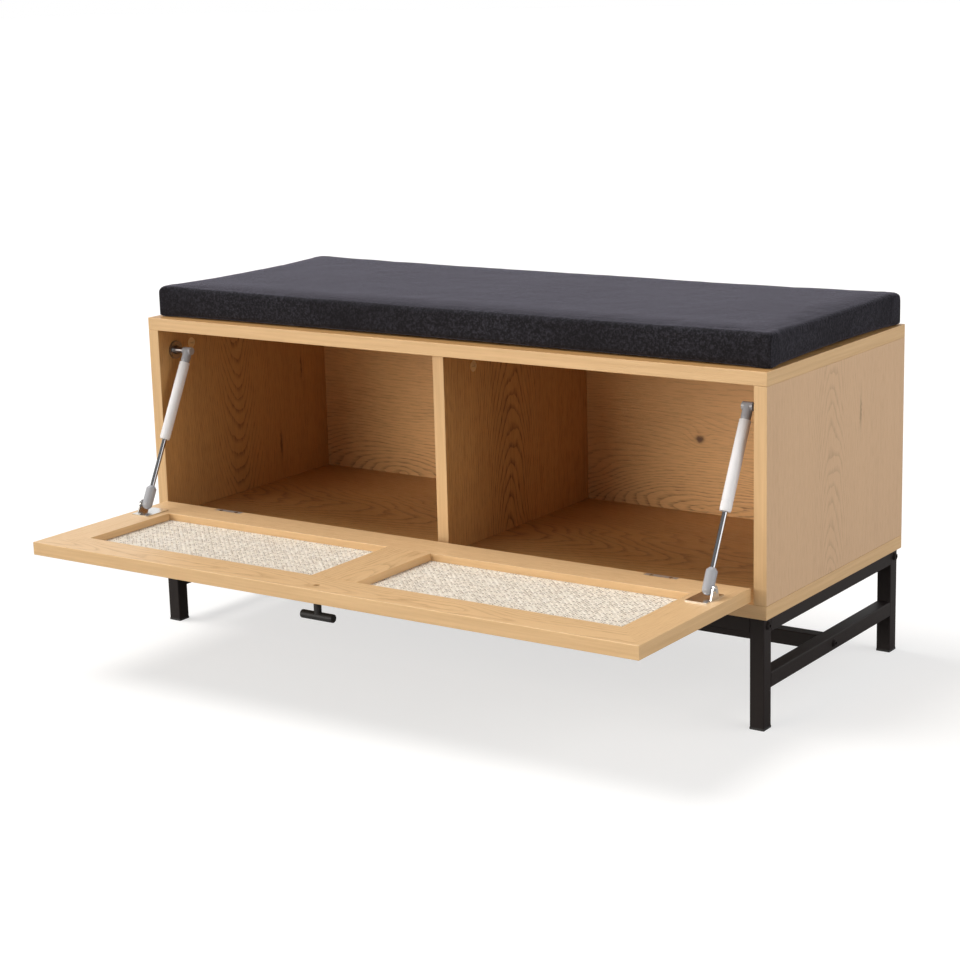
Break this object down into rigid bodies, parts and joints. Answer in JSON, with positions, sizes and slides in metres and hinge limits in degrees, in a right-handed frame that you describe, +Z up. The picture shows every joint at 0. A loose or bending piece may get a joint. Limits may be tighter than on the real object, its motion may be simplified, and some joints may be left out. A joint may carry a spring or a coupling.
{
  "type": "shoe storage bench",
  "caption": "Shoe storage bench with a padded seat, a drop-down cane front on gas struts, a divided oak-look cabinet and a black square-tube leg frame.",
  "frame": {"origin": "on the floor, in the middle of the footprint the bench takes with its flap down", "axes": "+X to the right along the width as seen from the front, +Y to the rear, +Z up; the open flap points to -Y"},
  "size_m": [1, 0.674, 0.5003],
  "materials": {
    "oak_decor": "satin oak-pattern foil",
    "back_decor": "satin oak-pattern foil on thin fibreboard",
    "beech": "raw beech",
    "zinc_alloy": "die-cast",
    "zinc_plated": "zinc plated",
    "black_steel": "matt powder coat",
    "black_metal": "matt",
    "black_plastic": "matt",
    "grey_plastic": "matt",
    "strut_tube_paint": "satin light grey",
    "strut_rod_chrome": "polished",
    "cane_weave": "natural woven cane",
    "cushion_fabric": "matt charcoal weave",
    "cushion_foam": "open-cell foam"
  },
  "bodies": {
    "cabinet": {"top_panel": "oak_decor", "bottom_panel": "oak_decor", "left_side_panel": "oak_decor", "right_side_panel": "oak_decor", "centre_divider": "oak_decor", "back_panel": "back_decor", "wood_dowels": "beech", "cam_locks": "zinc_alloy", "cam_bolts": "zinc_plated", "bottom_screws": "zinc_plated", "carcass_screws": "zinc_plated", "rail_end_nuts": "zinc_plated", "hinge_cabinet_leaves": "zinc_plated", "hinge_pins": "zinc_plated", "hinge_cabinet_screws": "zinc_plated", "strut_cabinet_screws": "zinc_plated", "front_left_leg": "black_steel", "front_right_leg": "black_steel", "rear_left_leg": "black_steel", "rear_right_leg": "black_steel", "left_upper_rail": "black_steel", "right_upper_rail": "black_steel", "left_lower_rail": "black_steel", "right_lower_rail": "black_steel", "front_upper_rail": "black_steel", "rear_upper_rail": "black_steel", "long_stretcher": "black_steel", "frame_bolts": "black_steel", "strut_cabinet_brackets": "black_metal", "foot_plugs": "black_plastic"},
    "flap": {"flap_hinge_rail": "oak_decor", "flap_free_rail": "oak_decor", "flap_left_stile": "oak_decor", "flap_right_stile": "oak_decor", "flap_middle_stile": "oak_decor", "cane_beads": "oak_decor", "left_cane_panel": "cane_weave", "right_cane_panel": "cane_weave", "hinge_flap_leaves": "zinc_plated", "hinge_flap_screws": "zinc_plated", "strut_flap_brackets": "zinc_plated", "strut_flap_studs": "zinc_plated", "strut_flap_screws": "zinc_plated", "knob_bar": "black_metal", "knob_stem": "black_metal", "knob_screw": "zinc_plated"},
    "left_strut_rod_body": {"left_strut_rod": "strut_rod_chrome", "left_strut_rod_socket": "grey_plastic", "left_strut_piston": "zinc_plated"},
    "left_strut_tube_body": {"left_strut_tube": "strut_tube_paint", "left_strut_gland": "black_plastic", "left_strut_tube_socket": "grey_plastic"},
    "right_strut_rod_body": {"right_strut_rod": "strut_rod_chrome", "right_strut_rod_socket": "grey_plastic", "right_strut_piston": "zinc_plated"},
    "right_strut_tube_body": {"right_strut_tube": "strut_tube_paint", "right_strut_gland": "black_plastic", "right_strut_tube_socket": "grey_plastic"},
    "cushion": {"cushion_cover": "cushion_fabric", "foam_core": "cushion_foam"}
  },
  "joints": [
    {"name": "flap_hinge", "type": "hinge", "parent": "cabinet", "child": "flap", "pos_m": [0, -0.066, 0.164], "axis": [1, 0, 0], "range_deg": [-90, 0]},
    {"name": "left_strut_swing", "type": "hinge", "parent": "flap", "child": "left_strut_rod_body", "pos_m": [-0.457, -0.133, 0.197], "axis": [1, 0, 0], "range_deg": [0, 115.45]},
    {"name": "left_strut_stroke", "type": "slide", "parent": "left_strut_rod_body", "child": "left_strut_tube_body", "axis": [0, 0.4489, 0.8936], "range_m": [-0.05871, 0]},
    {"name": "right_strut_swing", "type": "hinge", "parent": "flap", "child": "right_strut_rod_body", "pos_m": [0.457, -0.133, 0.197], "axis": [1, 0, 0], "range_deg": [0, 115.45]},
    {"name": "right_strut_stroke", "type": "slide", "parent": "right_strut_rod_body", "child": "right_strut_tube_body", "axis": [0, 0.4489, 0.8936], "range_m": [-0.05871, 0]},
    {"name": "cushion_lift", "type": "slide", "parent": "cabinet", "child": "cushion", "axis": [0, 0, 1], "range_m": [0, 0.12]}
  ],
  "couplings": [
    {"joint": "left_strut_swing", "follows": "flap_hinge", "ratio": -1.2817},
    {"joint": "left_strut_stroke", "follows": "flap_hinge", "m_per_rad": 0.037313},
    {"joint": "right_strut_swing", "follows": "flap_hinge", "ratio": -1.2817},
    {"joint": "right_strut_stroke", "follows": "flap_hinge", "m_per_rad": 0.037313}
  ]
}
